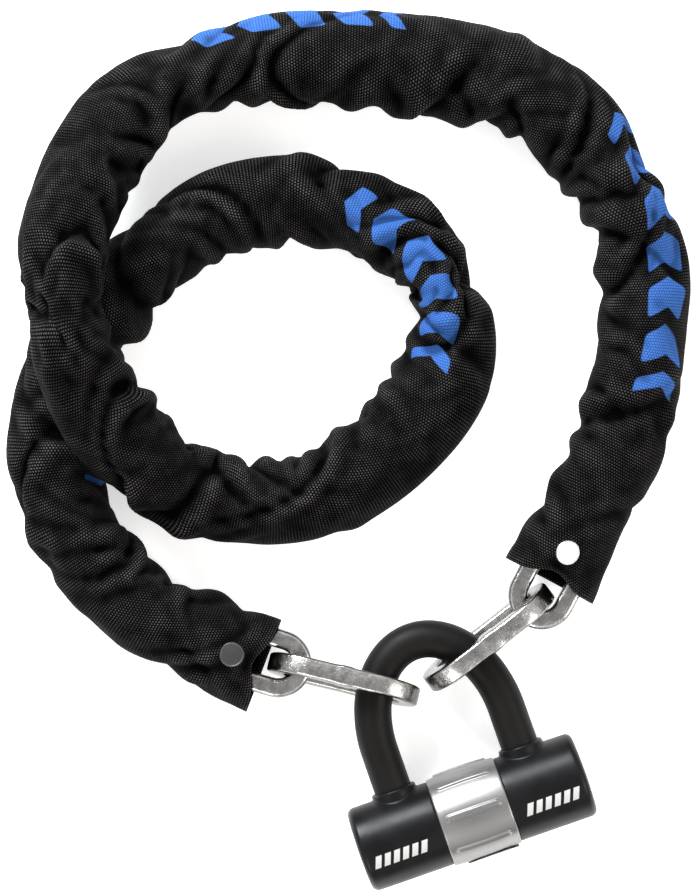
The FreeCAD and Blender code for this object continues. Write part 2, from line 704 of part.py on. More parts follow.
def build():
    """Makes and writes every piece."""
    pieces = place_lock(lock_pieces())
    pieces.update(chain_pieces())
    sleeve, places = make_sleeve()
    pieces["sleeve"] = sleeve
    rivets = []
    for top, run in places:
        rivets += make_rivet(top, run)
    pieces["sleeve_rivets"] = Part.Compound(rivets)
    box = FreeCAD.BoundBox()
    for name, shape in pieces.items():
        save(name, shape)
        box.add(shape.optimalBoundingBox())
    print(len(pieces), "pieces in", box)


build()
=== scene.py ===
"""The looks of the chain lock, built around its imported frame. Metres, +Z up."""
import json
import math

import bmesh
import bpy
import numpy as np
from mathutils import Matrix, Vector


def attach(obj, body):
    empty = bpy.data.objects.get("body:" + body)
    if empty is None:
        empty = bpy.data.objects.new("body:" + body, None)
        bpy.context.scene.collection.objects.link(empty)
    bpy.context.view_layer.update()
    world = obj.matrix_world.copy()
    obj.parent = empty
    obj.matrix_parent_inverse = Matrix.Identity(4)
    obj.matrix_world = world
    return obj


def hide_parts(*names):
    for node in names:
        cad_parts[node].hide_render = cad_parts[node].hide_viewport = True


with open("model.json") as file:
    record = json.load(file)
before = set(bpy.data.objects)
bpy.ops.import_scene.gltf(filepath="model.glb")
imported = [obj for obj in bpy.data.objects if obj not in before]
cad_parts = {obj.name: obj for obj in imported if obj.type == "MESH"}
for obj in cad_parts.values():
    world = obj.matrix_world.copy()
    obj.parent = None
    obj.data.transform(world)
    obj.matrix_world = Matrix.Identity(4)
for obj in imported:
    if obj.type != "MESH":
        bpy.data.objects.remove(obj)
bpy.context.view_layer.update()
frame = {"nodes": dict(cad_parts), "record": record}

# ---------------------------------------------------------------- driving sizes, in metres
BAR = 0.0095                 # square bar of every link
LINK_ROUND = 0.0022          # rounding of its corners, in the sleeve's links
END_LINK_ROUND = 0.0014      # and in the end links
LINK_SIZE = (0.0619, 0.034)  # outer length and width
CHAIN_LINKS = [f"chain_link_{number:02d}" for number in range(1, 36)]
END_LINK_SIZE = (0.078, 0.042)
WELD_LENGTH, WELD_HEIGHT = 0.0075, 0.0004
WELD_EDGE = 0.0004           # how far the weld takes to rise
FORGED_SWELL = 0.004         # share by which a forged bar's thickness wavers

SLEEVE_RADIUS = 0.0215
CLOTH = 0.0009               # thickness
CLOTH_CLEARANCE = 0.0008     # that the simulation keeps between the cloth and what it lies on
RINGS = 340                  # along the sleeve
RING_POINTS = 34             # round it
SLACK = 0.03                 # share by which the cloth is larger than its laid shape, each way
LUMPS, CREASES = 130, 120    # soft swellings and pinched folds along it
LUMP_ASIDE = 2.6             # radians from the top, the furthest that a swelling's middle lies
LUMP_SIZE = (0.008, 0.017)   # from, to
LUMP_HEIGHT = 0.0034         # in or out, at most
LUMP_STRETCH = 0.7           # below 1, a swelling is longer round the sleeve than along it
CREASE_JITTER = 0.6          # share of the even distance between the folds
CREASE_INSIDE_SHARE = 0.7    # of the folds lie on the inside of their bend, the others anywhere
CREASE_INSIDE, CREASE_ANYWHERE = (0.3, 1.9), (-2.0, 2.0)   # radians from the top
CREASE_LEAN, CREASE_BOW = 0.5, 0.012   # spread of the folds' slant and curve
CREASE_REACH = (0.4, 1.3)    # radians to each side
CREASE_WIDTH, CREASE_DEPTH = (0.0024, 0.0056), (0.0014, 0.0075)
TUCK_EVERY = 7               # of the folds, one in so many is tucked deep
TUCK_REACH, TUCK_DEPTH = 1.5, 0.0085
TUCK_INWARDS = 0.6           # below 1, a tuck lies nearer the top than other folds
LIP_AT, LIP_WIDTH, LIP_HEIGHT = 2.4, 1.4, 0.6   # beside each fold, in widths and depths of the fold
DEEPEST, HIGHEST = -0.0080, 0.0050
RIVET_FROM_HEM = 0.017
RIVET_HOLD, RIVET_HOLD_ANGLE = 0.006, 0.35   # how far round a rivet it keeps the cloth still
HEM_HOLD = 0.005             # and how far from its edge the stitched hem does
HEM_NOTCH_LENGTH, HEM_NOTCH_ANGLE = 0.007, 0.42
HEM_NOTCH_DEPTH, HEM_NOTCH_DROP = 0.006, 0.005
HEM_HALF = (0.0246, 0.0176)  # half the width and half the height of the flattened hem
HEM_FLAT_LENGTH = 0.030      # over which the sleeve turns round again
SIM_FRAMES = 24
HOLD = 0.15                  # how firmly the chain keeps the cloth from creeping along it
STITCHED_FROM = 0.25         # a weaker hold of a hem or a rivet than this doesn't count
WEAVE = 0.00135              # from thread to thread

LOCK_PLACE = (0.0615, -0.1838, 0.02414)
LOCK_TURN = math.radians(19.25)
COVER_RADIUS = 0.02175
BAND_OFFSET, BAND_WIDTH = 0.001, 0.036
BAND_RADIUS, BAND_EDGE_RADIUS = 0.0234, 0.0225
RIB_FIRST = math.radians(53)
RIB_COUNT, RIB_AT_WINDOW = 8, 5
RIB_LENGTH, RIB_WIDTH, RIB_HEIGHT = 0.029, 0.0042, 0.0009
RIB_SLOPE = 0.0010           # how far a rib's edge takes to rise
BAND_RIM, BAND_BORE = 0.0009, 0.01906
WINDOW_FROM, WINDOW_TO, WINDOW_HALF = -0.0101, 0.0171, 0.0081
LEG_SPACING = 0.0676
LEG_STRAIGHT, BOW_HEIGHT = 0.044, 0.047
CORE_RADIUS, COAT_RADIUS = 0.007, 0.0095
COAT_FROM = 0.0194
RIVET_CAP_RADIUS, RIVET_CAP_HEIGHT, RIVET_SHANK_RADIUS = 0.0062, 0.0009, 0.0016
RIVET_ROLL = 0.12 * RIVET_CAP_RADIUS     # of the cap's rolled edge
WASHER_RADIUS = 2.6 * RIVET_SHANK_RADIUS
SHANK_TOP, WASHER_TOP, WASHER_BOTTOM = -0.0008, -0.0021, -0.0028   # from the cloth's top
RIVET_LIFT = 0.0002          # of the cap over the cloth
RIGHT_RIVET_TILT, LEFT_RIVET_TILT = 18, 0   # degrees about the route, as its hem lies
MARK_AT, MARK_ANGLE = 0.040, math.radians(-15.5)
MARK_LENGTH, MARK_HEIGHT = 0.029, 0.0064
MARK_STROKES, MARK_GAP, MARK_LEAN = 6, 0.36, 0.35

# The sleeve's route from its right end to its left one: x, y and the rise above the surface.
ROUTE = [
    (0.1005, -0.0674, 0),
    (0.122, -0.027, 0),
    (0.143, 0.014, 0),
    (0.151, 0.060, 0),
    (0.147, 0.107, 0),
    (0.127, 0.152, 0),
    (0.090, 0.185, 0),
    (0.041, 0.196, 0),
    (-0.008, 0.199, 0),
    (-0.055, 0.197, 0),
    (-0.095, 0.185, 0.004),
    (-0.124, 0.156, 0.016),
    (-0.139, 0.117, 0.032),
    (-0.142, 0.084, 0.046),
    (-0.137, 0.046, 0.046),
    (-0.121, 0.008, 0.029),
    (-0.091, -0.020, 0.012),
    (-0.053, -0.030, 0),
    (-0.012, -0.026, 0),
    (0.024, -0.005, 0),
    (0.050, 0.026, 0),
    (0.056, 0.067, 0),
    (0.035, 0.104, 0),
    (-0.003, 0.126, 0),
    (-0.047, 0.128, 0),
    (-0.087, 0.110, 0),
    (-0.120, 0.081, 0),
    (-0.146, 0.045, 0),
    (-0.154, 0.003, 0),
    (-0.147, -0.036, 0),
    (-0.123, -0.069, 0),
    (-0.089, -0.093, 0),
    (-0.0434, -0.1103, 0),
]

# How much further than round the cloth reaches, in rows of: a share of its length, to its left, to its right.
FULLNESS = [
    (0.00, 0.003, 0.000),
    (0.10, 0.002, 0.001),
    (0.16, 0.005, 0.000),
    (0.20, 0.004, 0.002),
    (0.25, 0.009, 0.001),
    (0.29, 0.004, 0.000),
    (0.34, 0.000, 0.000),
    (0.39, 0.003, 0.001),
    (0.44, 0.001, 0.002),
    (0.50, 0.002, 0.001),
    (0.56, 0.001, 0.000),
    (0.62, 0.004, 0.000),
    (0.66, 0.002, 0.000),
    (0.70, 0.000, 0.000),
    (0.75, 0.000, 0.001),
    (0.80, 0.003, 0.001),
    (0.86, 0.002, 0.002),
    (0.93, 0.003, 0.000),
    (1.00, 0.002, 0.001),
]

# Where the sleeve is printed, in rows of: a place on it, the print's length, and how far the print leans from
# the top at its start and at its end, in degrees to the left of the route.
PRINTS = [
    ((0.150, 0.099), 0.134, -24, -50),
    ((-0.027, 0.198), 0.098, -64, -72),
    ((0.043, 0.092), 0.114, 34, 0),
    ((-0.149, -0.014), 0.019, 80, 80),
]
PRINT_HEIGHT, PRINT_PITCH, PRINT_STROKE = 0.0235, 0.0225, 0.0145
PRINT_SLANT = 0.5            # of the chevrons' arms: along the sleeve for each length across it
PRINT_ROUND, PRINT_END_ROUND = 0.004, 0.001   # of their corners
PRINT_EDGE = 0.0003          # over which the ink ends
PRINT_BLUE = (0.045, 0.135, 0.43, 1)


# ================================================================ camera, floor and light
def make_camera():
    """Straight above the lock and the coil, as far off as a person's eyes."""
    distance = 1.57
    seen_height = 0.4525     # of the plane through the middle of the sleeve
    data = bpy.data.cameras.new("camera")
    data.sensor_width = 36
    data.lens = 36 * distance / seen_height
    camera = bpy.data.objects.new("camera", data)
    camera.location = (-0.001, -0.0003, SLEEVE_RADIUS + distance)
    bpy.context.scene.collection.objects.link(camera)
    bpy.context.scene.camera = camera


def make_light(name, place, size, power, color):
    """A soft square light turned at the middle of the coil."""
    data = bpy.data.lights.new(name, "AREA")
    data.size = size
    data.energy = power
    data.color = color
    light = bpy.data.objects.new(name, data)
    light.location = place
    light.rotation_euler = (-Vector(place)).to_track_quat("-Z", "Y").to_euler()
    bpy.context.scene.collection.objects.link(light)


def make_stage():
    """A pale floor and a soft studio round it."""
    bpy.ops.mesh.primitive_plane_add(size=8)
    floor = bpy.context.object
    floor.name = "floor"
    paper, _, shader = new_material("floor_paper")
    shader.inputs["Base Color"].default_value = (0.95, 0.95, 0.95, 1)
    shader.inputs["Roughness"].default_value = 0.95
    shader.inputs["Emission Color"].default_value = (1, 1, 1, 1)
    light_table_glow = 0.55  # keeps the shadows pale
    shader.inputs["Emission Strength"].default_value = light_table_glow
    floor.data.materials.append(paper)
    world = bpy.data.worlds.new("studio")
    world.use_nodes = True
    tree = world.node_tree
    direction = add(tree, "ShaderNodeTexCoord").outputs["Generated"]
    height = add(tree, "ShaderNodeSeparateXYZ", {0: direction}).outputs[2]
    walls = ramp(tree, height, 0.1, 0.6, 0.10, 1.0)
    shade = calc(tree, "MULTIPLY", walls, ramp(tree, height, 0.80, 0.96, 1.0, 0.42))
    tree.links.new(shade, tree.nodes["Background"].inputs["Color"])
    tree.nodes["Background"].inputs["Strength"].default_value = 1.0
    bpy.context.scene.world = world
    make_light("key", (-0.9, 1.5, 1.2), size=0.9, power=95, color=(0.92, 0.96, 1.0))
    make_light("fill", (1.5, -0.5, 1.3), size=1.0, power=16, color=(1.0, 0.94, 0.88))
    make_light("front", (-0.6, -1.5, 1.2), size=0.8, power=10, color=(1.0, 0.96, 0.92))
    bpy.context.scene.view_settings.view_transform = "Standard"


# ================================================================ node helpers
def new_material(name):
    """A node material, its tree and its principled shader."""
    material = bpy.data.materials.new(name)
    material.use_nodes = True
    tree = material.node_tree
    return material, tree, tree.nodes["Principled BSDF"]


def add(tree, kind, inputs=(), **settings):
    """A node with its settings, and its inputs given as values or as sockets to link."""
    made = tree.nodes.new(kind)
    for key, value in settings.items():
        setattr(made, key, value)
    for key, value in dict(inputs).items():
        if isinstance(value, bpy.types.NodeSocket):
            tree.links.new(value, made.inputs[key])
        else:
            made.inputs[key].default_value = value
    return made


def calc(tree, operation, *values, clamp=False):
    """One math node's output."""
    return add(tree, "ShaderNodeMath", enumerate(values), operation=operation, use_clamp=clamp).outputs[0]


def mixed(tree, factor, a, b):
    """A mix of two colours."""
    made = add(tree, "ShaderNodeMix", data_type="RGBA")
    for index, value in ((0, factor), (6, a), (7, b)):
        if isinstance(value, bpy.types.NodeSocket):
            tree.links.new(value, made.inputs[index])
        else:
            made.inputs[index].default_value = value
    return made.outputs[2]


def ramp(tree, value, low, high, out_low=0.0, out_high=1.0):
    """A value's range carried to another range, clamped."""
    inputs = {"Value": value, "From Min": low, "From Max": high, "To Min": out_low, "To Max": out_high}
    return add(tree, "ShaderNodeMapRange", inputs).outputs[0]


def noise(tree, scale, detail, roughness=0.55):
    """Noise over the object, its scale in lumps to the metre."""
    where = add(tree, "ShaderNodeTexCoord").outputs["Object"]
    inputs = {"Vector": where, "Scale": scale, "Detail": detail, "Roughness": roughness}
    return add(tree, "ShaderNodeTexNoise", inputs).outputs["Fac"]


def bump(tree, height, distance, strength, under=None):
    """A bump's normal, over another bump's if there is one."""
    inputs = {"Height": height, "Distance": distance, "Strength": strength}
    if under is not None:
        inputs["Normal"] = under
    return add(tree, "ShaderNodeBump", inputs).outputs[0]


# ================================================================ mesh helpers
def unit(vectors):
    """Each row at length 1."""
    return vectors / np.linalg.norm(vectors, axis=-1, keepdims=True)


def smooth_line(points, steps=24):
    """Points close together on the quadratic B-spline of some control points."""
    points = np.array(points, float)
    middles = (points[1:-2] + points[2:-1]) / 2
    starts = [points[0], *middles]
    ends = [*middles, points[-1]]
    t = np.linspace(0, 1, steps, endpoint=False)[:, None]
    runs = []
    for start, corner, end in zip(starts, points[1:-1], ends):
        runs.append((1 - t) ** 2 * start + 2 * t * (1 - t) * corner + t**2 * end)
    return np.vstack([*runs, points[-1:]])


def evenly(line, count):
    """A line's points placed again at even distances, and its length."""
    along = np.concatenate([[0], np.cumsum(np.linalg.norm(np.diff(line, axis=0), axis=1))])
    places = np.linspace(0, along[-1], count)
    return np.stack([np.interp(places, along, line[:, axis]) for axis in range(3)], axis=1), along[-1]


def frames(line):
    """The heading, the left and the up of each point of a line."""
    heading = unit(np.gradient(line, axis=0))
    left = unit(np.cross((0, 0, 1), heading))
    return heading, left, np.cross(heading, left)


def grid_mesh(name, points, closed_across=False, closed_along=False, uv=None):
    """A smooth mesh from rows of points, with a UV map in metres from an array of the rows' corners."""
    rows, columns = points.shape[:2]
    i, j = np.meshgrid(
        np.arange(rows if closed_along else rows - 1),
        np.arange(columns if closed_across else columns - 1),
        indexing="ij",
    )
    i, j = i.ravel(), j.ravel()
    corners = [(i, j), (i + 1, j), (i + 1, j + 1), (i, j + 1)]
    faces = np.stack([(a % rows) * columns + b % columns for a, b in corners], axis=1)
    mesh = bpy.data.meshes.new(name)
    mesh.from_pydata(points.reshape(-1, 3).tolist(), [], faces.tolist())
    if uv is not None:
        layer = mesh.uv_layers.new(name="cloth")
        values = np.stack([uv[a, b] for a, b in corners], axis=1)
        layer.data.foreach_set("uv", values.astype(np.float32).ravel())
    mesh.shade_smooth()
    return mesh


def put(name, mesh, material, body, slot_name, *nodes):
    """An object of a mesh that rides on a body and stands for some CAD nodes."""
    made = bpy.data.objects.new(name, mesh)
    bpy.context.scene.collection.objects.link(made)
    made.data.materials.append(material)
    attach(made, body)
    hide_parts(*nodes)
    return made


def baked(obj):
    """The object's mesh with its modifiers, in place of the object's own."""
    graph = bpy.context.evaluated_depsgraph_get()
    mesh = bpy.data.meshes.new_from_object(obj.evaluated_get(graph))
    obj.modifiers.clear()
    obj.data = mesh


def copy_of(*nodes):
    """One new object with the meshes of some CAD nodes."""
    joined = bmesh.new()
    for node in nodes:
        joined.from_mesh(frame["nodes"][node].data)
    mesh = bpy.data.meshes.new("copy")
    joined.to_mesh(mesh)
    joined.free()
    made = bpy.data.objects.new("copy", mesh)
    bpy.context.scene.collection.objects.link(made)
    return made


# ================================================================ sleeve
def sleeve_line():
    """The middle of the sleeve, and its length."""
    route = np.array(ROUTE) + (0, 0, SLEEVE_RADIUS)
    return evenly(smooth_line(route), RINGS)


def wrinkles(line, along, angle):
    """How far the cloth stands in or out: soft lumps, and folds, most of them on the inside of the bends."""
    random = np.random.default_rng(11)
    heading, left, _ = frames(line)
    turning = np.sum(np.gradient(heading, along, axis=0) * left, axis=1)
    relief = np.zeros((len(along), len(angle)))
    for _ in range(LUMPS):
        place = random.uniform(0, along[-1])
        aside = random.uniform(-LUMP_ASIDE, LUMP_ASIDE)
        size = random.uniform(*LUMP_SIZE)
        distance = np.hypot(along[:, None] - place, LUMP_STRETCH * SLEEVE_RADIUS * (angle - aside)[None, :])
        relief += random.uniform(-LUMP_HEIGHT, LUMP_HEIGHT) * np.exp(-((distance / size) ** 2))
    for number in range(CREASES):
        place = along[-1] * (number + random.uniform(-CREASE_JITTER, CREASE_JITTER)) / CREASES
        bend = np.interp(place, along, turning)
        if random.random() < CREASE_INSIDE_SHARE:
            middle = np.sign(bend) * random.uniform(*CREASE_INSIDE)
        else:
            middle = random.uniform(*CREASE_ANYWHERE)
        lean = random.normal(0, CREASE_LEAN)
        bow = random.normal(0, CREASE_BOW)
        reach = random.uniform(*CREASE_REACH)
        width = random.uniform(*CREASE_WIDTH)
        depth = random.uniform(*CREASE_DEPTH)
        if number % TUCK_EVERY == 0:
            middle, reach, depth = TUCK_INWARDS * middle, TUCK_REACH, TUCK_DEPTH
        relief += crease(along, angle, place, middle, lean, bow, reach, width, depth)
    return np.clip(relief, DEEPEST, HIGHEST)


def crease(along, angle, place, middle, lean, bow, reach, width, depth):
    """One fold across the sleeve: a sharp valley with a soft lip beside it, fading out round the tube."""
    across = (angle - middle + math.pi) % (2 * math.pi) - math.pi
    distance = along[:, None] - place - (lean * SLEEVE_RADIUS * across + bow * across**2)[None, :]
    fade = np.exp(-((across / reach) ** 2))[None, :]
    valley = np.exp(-np.abs(distance) / width)
    lip = np.exp(-(((distance - LIP_AT * width) / (LIP_WIDTH * width)) ** 2))
    return depth * fade * (LIP_HEIGHT * lip - valley)


def sleeve_tube():
    """The cloth before it is let go: a creased tube, flattened at its hems, each with a notch in its top."""
    line, length = sleeve_line()
    heading, left, up = frames(line)
    angle = np.linspace(-math.pi, math.pi, RING_POINTS, endpoint=False)
    along = np.linspace(0, length, RINGS)
    from_hem = np.minimum(along, length - along)
    calm = np.clip(from_hem / HEM_FLAT_LENGTH, 0, 1)[:, None]
    radius = SLEEVE_RADIUS - CLOTH + wrinkles(line, along, angle) * calm
    share, to_left, to_right = np.array(FULLNESS).T
    fuller = [np.interp(along / length, share, side)[:, None] for side in (to_left, to_right)]
    wide = (radius + np.where(angle > 0, *fuller)) * calm + HEM_HALF[0] * (1 - calm)
    high = radius * calm + HEM_HALF[1] * (1 - calm)
    points = line[:, None] + up[:, None] * (high * np.cos(angle))[..., None]
    points += left[:, None] * (wide * np.sin(angle))[..., None]
    inward = np.where(along < length / 2, 1, -1)
    pull = np.exp(-((from_hem / HEM_NOTCH_LENGTH) ** 2))[:, None] * np.exp(-((angle / HEM_NOTCH_ANGLE) ** 2))
    points += (heading * inward[:, None])[:, None] * (pull * HEM_NOTCH_DEPTH)[..., None]
    points[..., 2] = np.maximum(points[..., 2] - pull * HEM_NOTCH_DROP, CLOTH)
    around = np.linspace(0, 2 * math.pi * SLEEVE_RADIUS, RING_POINTS + 1)
    uv = np.stack(np.meshgrid(around, along), axis=-1)
    return grid_mesh("sleeve", points, closed_across=True, uv=uv), from_hem, angle


def let_go(cloth, held):
    """Lets the cloth, a little too large for its route, fall on the chain and the floor, and so wrinkle."""
    chain = copy_of(*CHAIN_LINKS)
    bpy.ops.mesh.primitive_plane_add(size=1)
    ground = bpy.context.object
    for solid in (chain, ground):
        solid.modifiers.new("Collision", "COLLISION")
        solid.collision.thickness_outer = CLOTH_CLEARANCE
        solid.collision.cloth_friction = 12
    group = cloth.vertex_groups.new(name="held")
    for index in np.flatnonzero(held > 0):
        group.add([int(index)], float(held[index]), "REPLACE")
    settings = cloth.modifiers.new("Cloth", "CLOTH")
    fabric = settings.settings
    fabric.quality = 6
    fabric.mass = 0.008
    fabric.time_scale = 0.4
    fabric.tension_stiffness = 20
    fabric.compression_stiffness = 20
    fabric.shear_stiffness = 8
    fabric.bending_stiffness = 0.04
    fabric.air_damping = 2
    fabric.shrink_min = -SLACK
    fabric.shrink_max = -SLACK
    fabric.vertex_group_mass = "held"
    settings.collision_settings.distance_min = CLOTH_CLEARANCE
    settings.collision_settings.collision_quality = 3
    for step in range(1, SIM_FRAMES + 1):
        bpy.context.scene.frame_set(step)
    baked(cloth)
    bpy.context.scene.frame_set(1)
    for solid in (chain, ground):
        bpy.data.objects.remove(solid)


def make_sleeve(material):
    """The woven sleeve, wrinkled round the chain."""
    mesh, from_hem, angle = sleeve_tube()
    sleeve = bpy.data.objects.new("sleeve_cloth", mesh)
    bpy.context.scene.collection.objects.link(sleeve)
    by_rivet = np.exp(-(((from_hem - RIVET_FROM_HEM) / RIVET_HOLD) ** 2))[:, None]
    by_rivet = by_rivet * np.exp(-((angle / RIVET_HOLD_ANGLE) ** 2))
    by_hem = np.exp(-((from_hem / HEM_HOLD) ** 2))[:, None]
    held = np.clip(by_rivet + by_hem, 0, 1)
    held = np.maximum(np.where(held < STITCHED_FROM, 0, held), HOLD)
    let_go(sleeve, held.ravel())
    finer = sleeve.modifiers.new("Subdivision", "SUBSURF")
    finer.levels = 1
    thick = sleeve.modifiers.new("Solidify", "SOLIDIFY")
    thick.thickness = CLOTH
    thick.offset = 0
    baked(sleeve)
    sleeve.data.materials.append(material)
    sleeve.data.shade_smooth()
    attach(sleeve, "chain_and_crossbar")
    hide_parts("sleeve")


def print_mask(tree, around, along):
    """Rows of plain chevrons printed along the sleeve, as a mask over its UV map."""
    line, length = sleeve_line()
    masks = []
    for middle, print_length, lean_start, lean_end in PRINTS:
        nearest = np.argmin(np.linalg.norm(line[:, :2] - middle, axis=1))
        start = length * nearest / (RINGS - 1) - print_length / 2
        share = ramp(tree, along, start, start + print_length)
        lean = [math.radians(180 + value) * SLEEVE_RADIUS for value in (lean_start, lean_end)]
        beside = calc(tree, "SUBTRACT", around, calc(tree, "MULTIPLY_ADD", share, lean[1] - lean[0], lean[0]))
        aside = calc(tree, "ABSOLUTE", beside)
        run = calc(tree, "MULTIPLY_ADD", aside, PRINT_SLANT, calc(tree, "SUBTRACT", along, start))
        stroke = calc(tree, "PINGPONG", run, PRINT_PITCH / 2)
        ends = calc(tree, "ABSOLUTE", calc(tree, "SUBTRACT", run, print_length / 2))
        edges = [
            calc(tree, "SUBTRACT", aside, PRINT_HEIGHT / 2),
            calc(tree, "SUBTRACT", stroke, PRINT_STROKE / 2),
            calc(tree, "SUBTRACT", ends, print_length / 2),
        ]
        outside = calc(tree, "SMOOTH_MAX", edges[0], edges[1], PRINT_ROUND)
        outside = calc(tree, "SMOOTH_MAX", outside, edges[2], PRINT_END_ROUND)
        masks.append(ramp(tree, outside, -PRINT_EDGE, PRINT_EDGE, 1.0, 0.0))
    inked = masks[0]
    for mask in masks[1:]:
        inked = calc(tree, "MAXIMUM", inked, mask)
    return inked


def cloth_material():
    """Black woven nylon with a painted grey glint on each thread, brighter on the folds' crests and gone in
    their valleys as painted light and shade, printed in blue.
    """
    material, tree, shader = new_material("woven_nylon")
    place = add(tree, "ShaderNodeUVMap", uv_map="cloth").outputs[0]
    split = add(tree, "ShaderNodeSeparateXYZ", {0: place})
    around, along = split.outputs[0], split.outputs[1]
    row = calc(tree, "FLOOR", calc(tree, "DIVIDE", along, WEAVE))
    stepped = calc(tree, "MULTIPLY_ADD", row, WEAVE / 2, around)
    warp = calc(tree, "ABSOLUTE", calc(tree, "SINE", calc(tree, "MULTIPLY", stepped, math.pi / WEAVE)))
    weft = calc(tree, "ABSOLUTE", calc(tree, "SINE", calc(tree, "MULTIPLY", along, math.pi / WEAVE)))
    crown = calc(tree, "MULTIPLY", warp, weft)
    # Painted highlight: the grey glint on the threads stands in for their sheen, stronger in random patches
    # and on some threads.
    glint_patches = ramp(tree, noise(tree, 75, 5), 0.32, 0.68, 0.30, 1.0)
    uneven_threads = ramp(tree, noise(tree, 700, 2), 0.3, 0.7, 0.55, 1.15)
    # Painted light and shade: the glint grows on the folds' crests and fades to nothing in their valleys, as
    # read from the mesh's pointiness.
    crest = ramp(tree, add(tree, "ShaderNodeNewGeometry").outputs["Pointiness"], 0.472, 0.55, 0.0, 1.9)
    patchiness = calc(tree, "MULTIPLY", glint_patches, uneven_threads)
    glint = calc(tree, "MULTIPLY", calc(tree, "POWER", crown, 3.0), patchiness)
    glint = calc(tree, "MULTIPLY", glint, crest, clamp=True)
    # Black between the threads; the grey is the painted glint's colour on their crowns.
    gap_black = (0.0002, 0.0002, 0.0004, 1)
    painted_glint_grey = (0.088, 0.084, 0.081, 1)
    black = mixed(tree, glint, gap_black, painted_glint_grey)
    # Darker blue in the gaps between the threads, and as painted shade in the folds' valleys.
    gap_and_shade_blue = [value * 0.33 for value in PRINT_BLUE[:3]] + [1]
    blue = mixed(tree, ramp(tree, crown, 0.0, 0.5), gap_and_shade_blue, PRINT_BLUE)
    blue = mixed(tree, ramp(tree, crest, 0.2, 0.9), gap_and_shade_blue, blue)
    inked = print_mask(tree, around, along)
    tree.links.new(mixed(tree, inked, black, blue), shader.inputs["Base Color"])
    shader.inputs["Roughness"].default_value = 0.6
    shader.inputs["Specular IOR Level"].default_value = 0.015
    tree.links.new(bump(tree, crown, 0.00025, 0.9), shader.inputs["Normal"])
    return material


# ================================================================ other materials
def lock_place(tree):
    """Where a point is along the lock's crossbar, and its angle from the crossbar's top."""
    where = add(tree, "ShaderNodeTexCoord").outputs["Object"]
    moved = add(tree, "ShaderNodeVectorMath", {0: where, 1: LOCK_PLACE}, operation="SUBTRACT").outputs[0]
    turned = add(tree, "ShaderNodeVectorRotate", {"Vector": moved, "Angle": -LOCK_TURN})
    split = add(tree, "ShaderNodeSeparateXYZ", {0: turned.outputs[0]})
    angle = calc(tree, "ARCTAN2", split.outputs[1], split.outputs[2])
    return split.outputs[0], angle


def plastic_material(name, color, roughness, marked=False):
    """Satin moulded plastic: a fine leathery grain, patchy gloss, and the painted marks on the covers."""
    material, tree, shader = new_material(name)
    grain = noise(tree, 1500, 2)
    patches = noise(tree, 90, 4)
    shade = mixed(tree, patches, [c * 0.7 for c in color[:3]] + [1], [c * 1.35 for c in color[:3]] + [1])
    rough = ramp(tree, patches, 0.3, 0.7, roughness - 0.05, roughness + 0.06)
    if marked:
        paint = mark_mask(tree)
        paint_white = (0.52, 0.52, 0.51, 1)
        shade = mixed(tree, paint, shade, paint_white)
        rough = calc(tree, "MULTIPLY_ADD", paint, 0.15, rough)
    tree.links.new(shade, shader.inputs["Base Color"])
    tree.links.new(rough, shader.inputs["Roughness"])
    shader.inputs["Specular IOR Level"].default_value = 0.17
    tree.links.new(bump(tree, grain, 0.00006, 0.35), shader.inputs["Normal"])
    return material


def mark_mask(tree):
    """A plain row of leaning strokes on each end of the lock's body, none of them cut short."""
    x, angle = lock_place(tree)
    up = calc(tree, "MULTIPLY", calc(tree, "SUBTRACT", angle, MARK_ANGLE), COVER_RADIUS)
    side = calc(tree, "MULTIPLY", calc(tree, "SIGN", x), MARK_AT)
    leaning = calc(tree, "MULTIPLY_ADD", up, -MARK_LEAN, calc(tree, "SUBTRACT", x, side))
    pitch = MARK_LENGTH / MARK_STROKES
    stroke = calc(tree, "PINGPONG", calc(tree, "ADD", leaning, pitch * (MARK_STROKES % 2) / 2), pitch / 2)
    edges = [
        calc(tree, "SUBTRACT", calc(tree, "ABSOLUTE", up), MARK_HEIGHT / 2),
        calc(tree, "SUBTRACT", calc(tree, "ABSOLUTE", leaning), MARK_LENGTH / 2),
        calc(tree, "SUBTRACT", pitch * MARK_GAP / 2, stroke),
    ]
    outside = calc(tree, "MAXIMUM", calc(tree, "MAXIMUM", edges[0], edges[1]), edges[2])
    return ramp(tree, outside, -0.0001, 0.0001, 1.0, 0.0)


def coat_material():
    """The soft black coat of the shackle, faintly dragged and rubbed."""
    material, tree, shader = new_material("shackle_coat")
    patchiness = noise(tree, 55, 5)
    fine = noise(tree, 900, 3)
    shade = mixed(tree, patchiness, (0.0042, 0.0039, 0.0037, 1), (0.0095, 0.0086, 0.0080, 1))
    tree.links.new(shade, shader.inputs["Base Color"])
    shader.inputs["Specular IOR Level"].default_value = 0.12
    tree.links.new(ramp(tree, patchiness, 0.3, 0.7, 0.40, 0.52), shader.inputs["Roughness"])
    tree.links.new(bump(tree, fine, 0.00008, 0.3), shader.inputs["Normal"])
    return material


def right_side(tree):
    """1 on the right of the object, 0 on its left."""
    where = add(tree, "ShaderNodeTexCoord").outputs["Object"]
    return ramp(tree, add(tree, "ShaderNodeSeparateXYZ", {0: where}).outputs[0], 0.0, 0.02)


def level_faces(tree):
    """1 on the faces that look up or down, 0 on the upright ones."""
    normal = add(tree, "ShaderNodeTexCoord").outputs["Normal"]
    upward = calc(tree, "ABSOLUTE", add(tree, "ShaderNodeSeparateXYZ", {0: normal}).outputs[2])
    return ramp(tree, upward, 0.45, 0.85)


